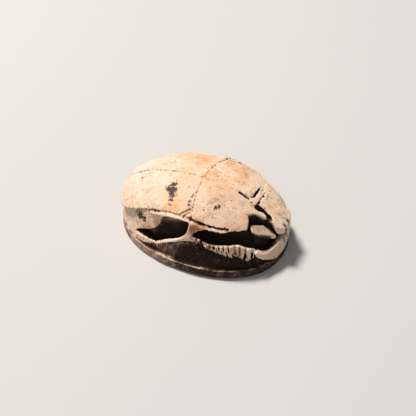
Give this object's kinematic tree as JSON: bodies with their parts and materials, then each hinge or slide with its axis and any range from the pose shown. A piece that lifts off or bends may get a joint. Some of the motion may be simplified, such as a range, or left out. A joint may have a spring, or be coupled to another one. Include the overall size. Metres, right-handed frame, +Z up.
{
  "type": "scarab amulet",
  "caption": "Carved stone beetle amulet with a domed back, cut wing-case lines, ridged legs and a string hole from end to end, lying on its flat oval underside",
  "frame": {"origin": "middle of the flat oval underside", "axes": "+X from the tail to the head, +Y to the beetle's left side, +Z up from the underside to the back"},
  "size_m": [0.018, 0.0132, 0.0072],
  "materials": {
    "steatite": "warm cream to tan carved steatite, smooth worn back, dark dirt in the cuts"
  },
  "bodies": {
    "root": {"scarab_amulet": "steatite"}
  },
  "joints": []
}
